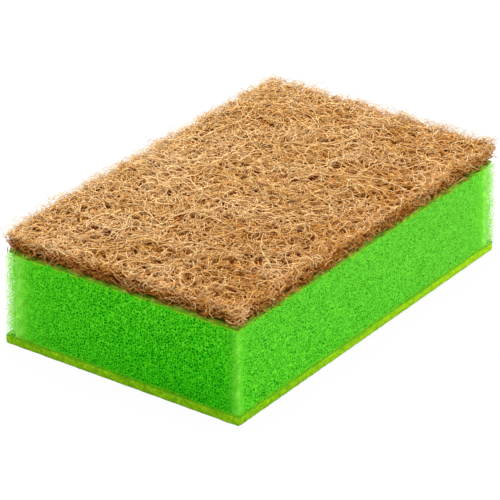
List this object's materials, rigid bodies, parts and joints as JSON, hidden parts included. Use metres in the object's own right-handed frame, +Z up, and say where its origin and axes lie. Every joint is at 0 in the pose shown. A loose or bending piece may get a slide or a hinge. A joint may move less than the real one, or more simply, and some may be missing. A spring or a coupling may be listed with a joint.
{
  "type": "cleaning sponge",
  "caption": "Rectangular kitchen cleaning sponge: a block of green open-cell foam with a brown plant-fibre scouring mat on top and a thin wiping layer underneath.",
  "frame": {"origin": "centre of the underside of the wiping layer", "axes": "+X along the length, +Y along the width, +Z up through the layers to the scouring mat"},
  "size_m": [0.11, 0.0682, 0.0299],
  "materials": {
    "wiping_layer": "fine dense foam, matt, yellow-green",
    "foam": "open-cell foam, matt, bright green",
    "adhesive": "dried film, uneven, yellowish",
    "plant_fibre": "tangled dry plant fibre, matt, light brown"
  },
  "bodies": {
    "root": {"base_layer": "wiping_layer", "foam_block": "foam", "bond_film": "adhesive", "scouring_pad": "plant_fibre"}
  },
  "joints": []
}
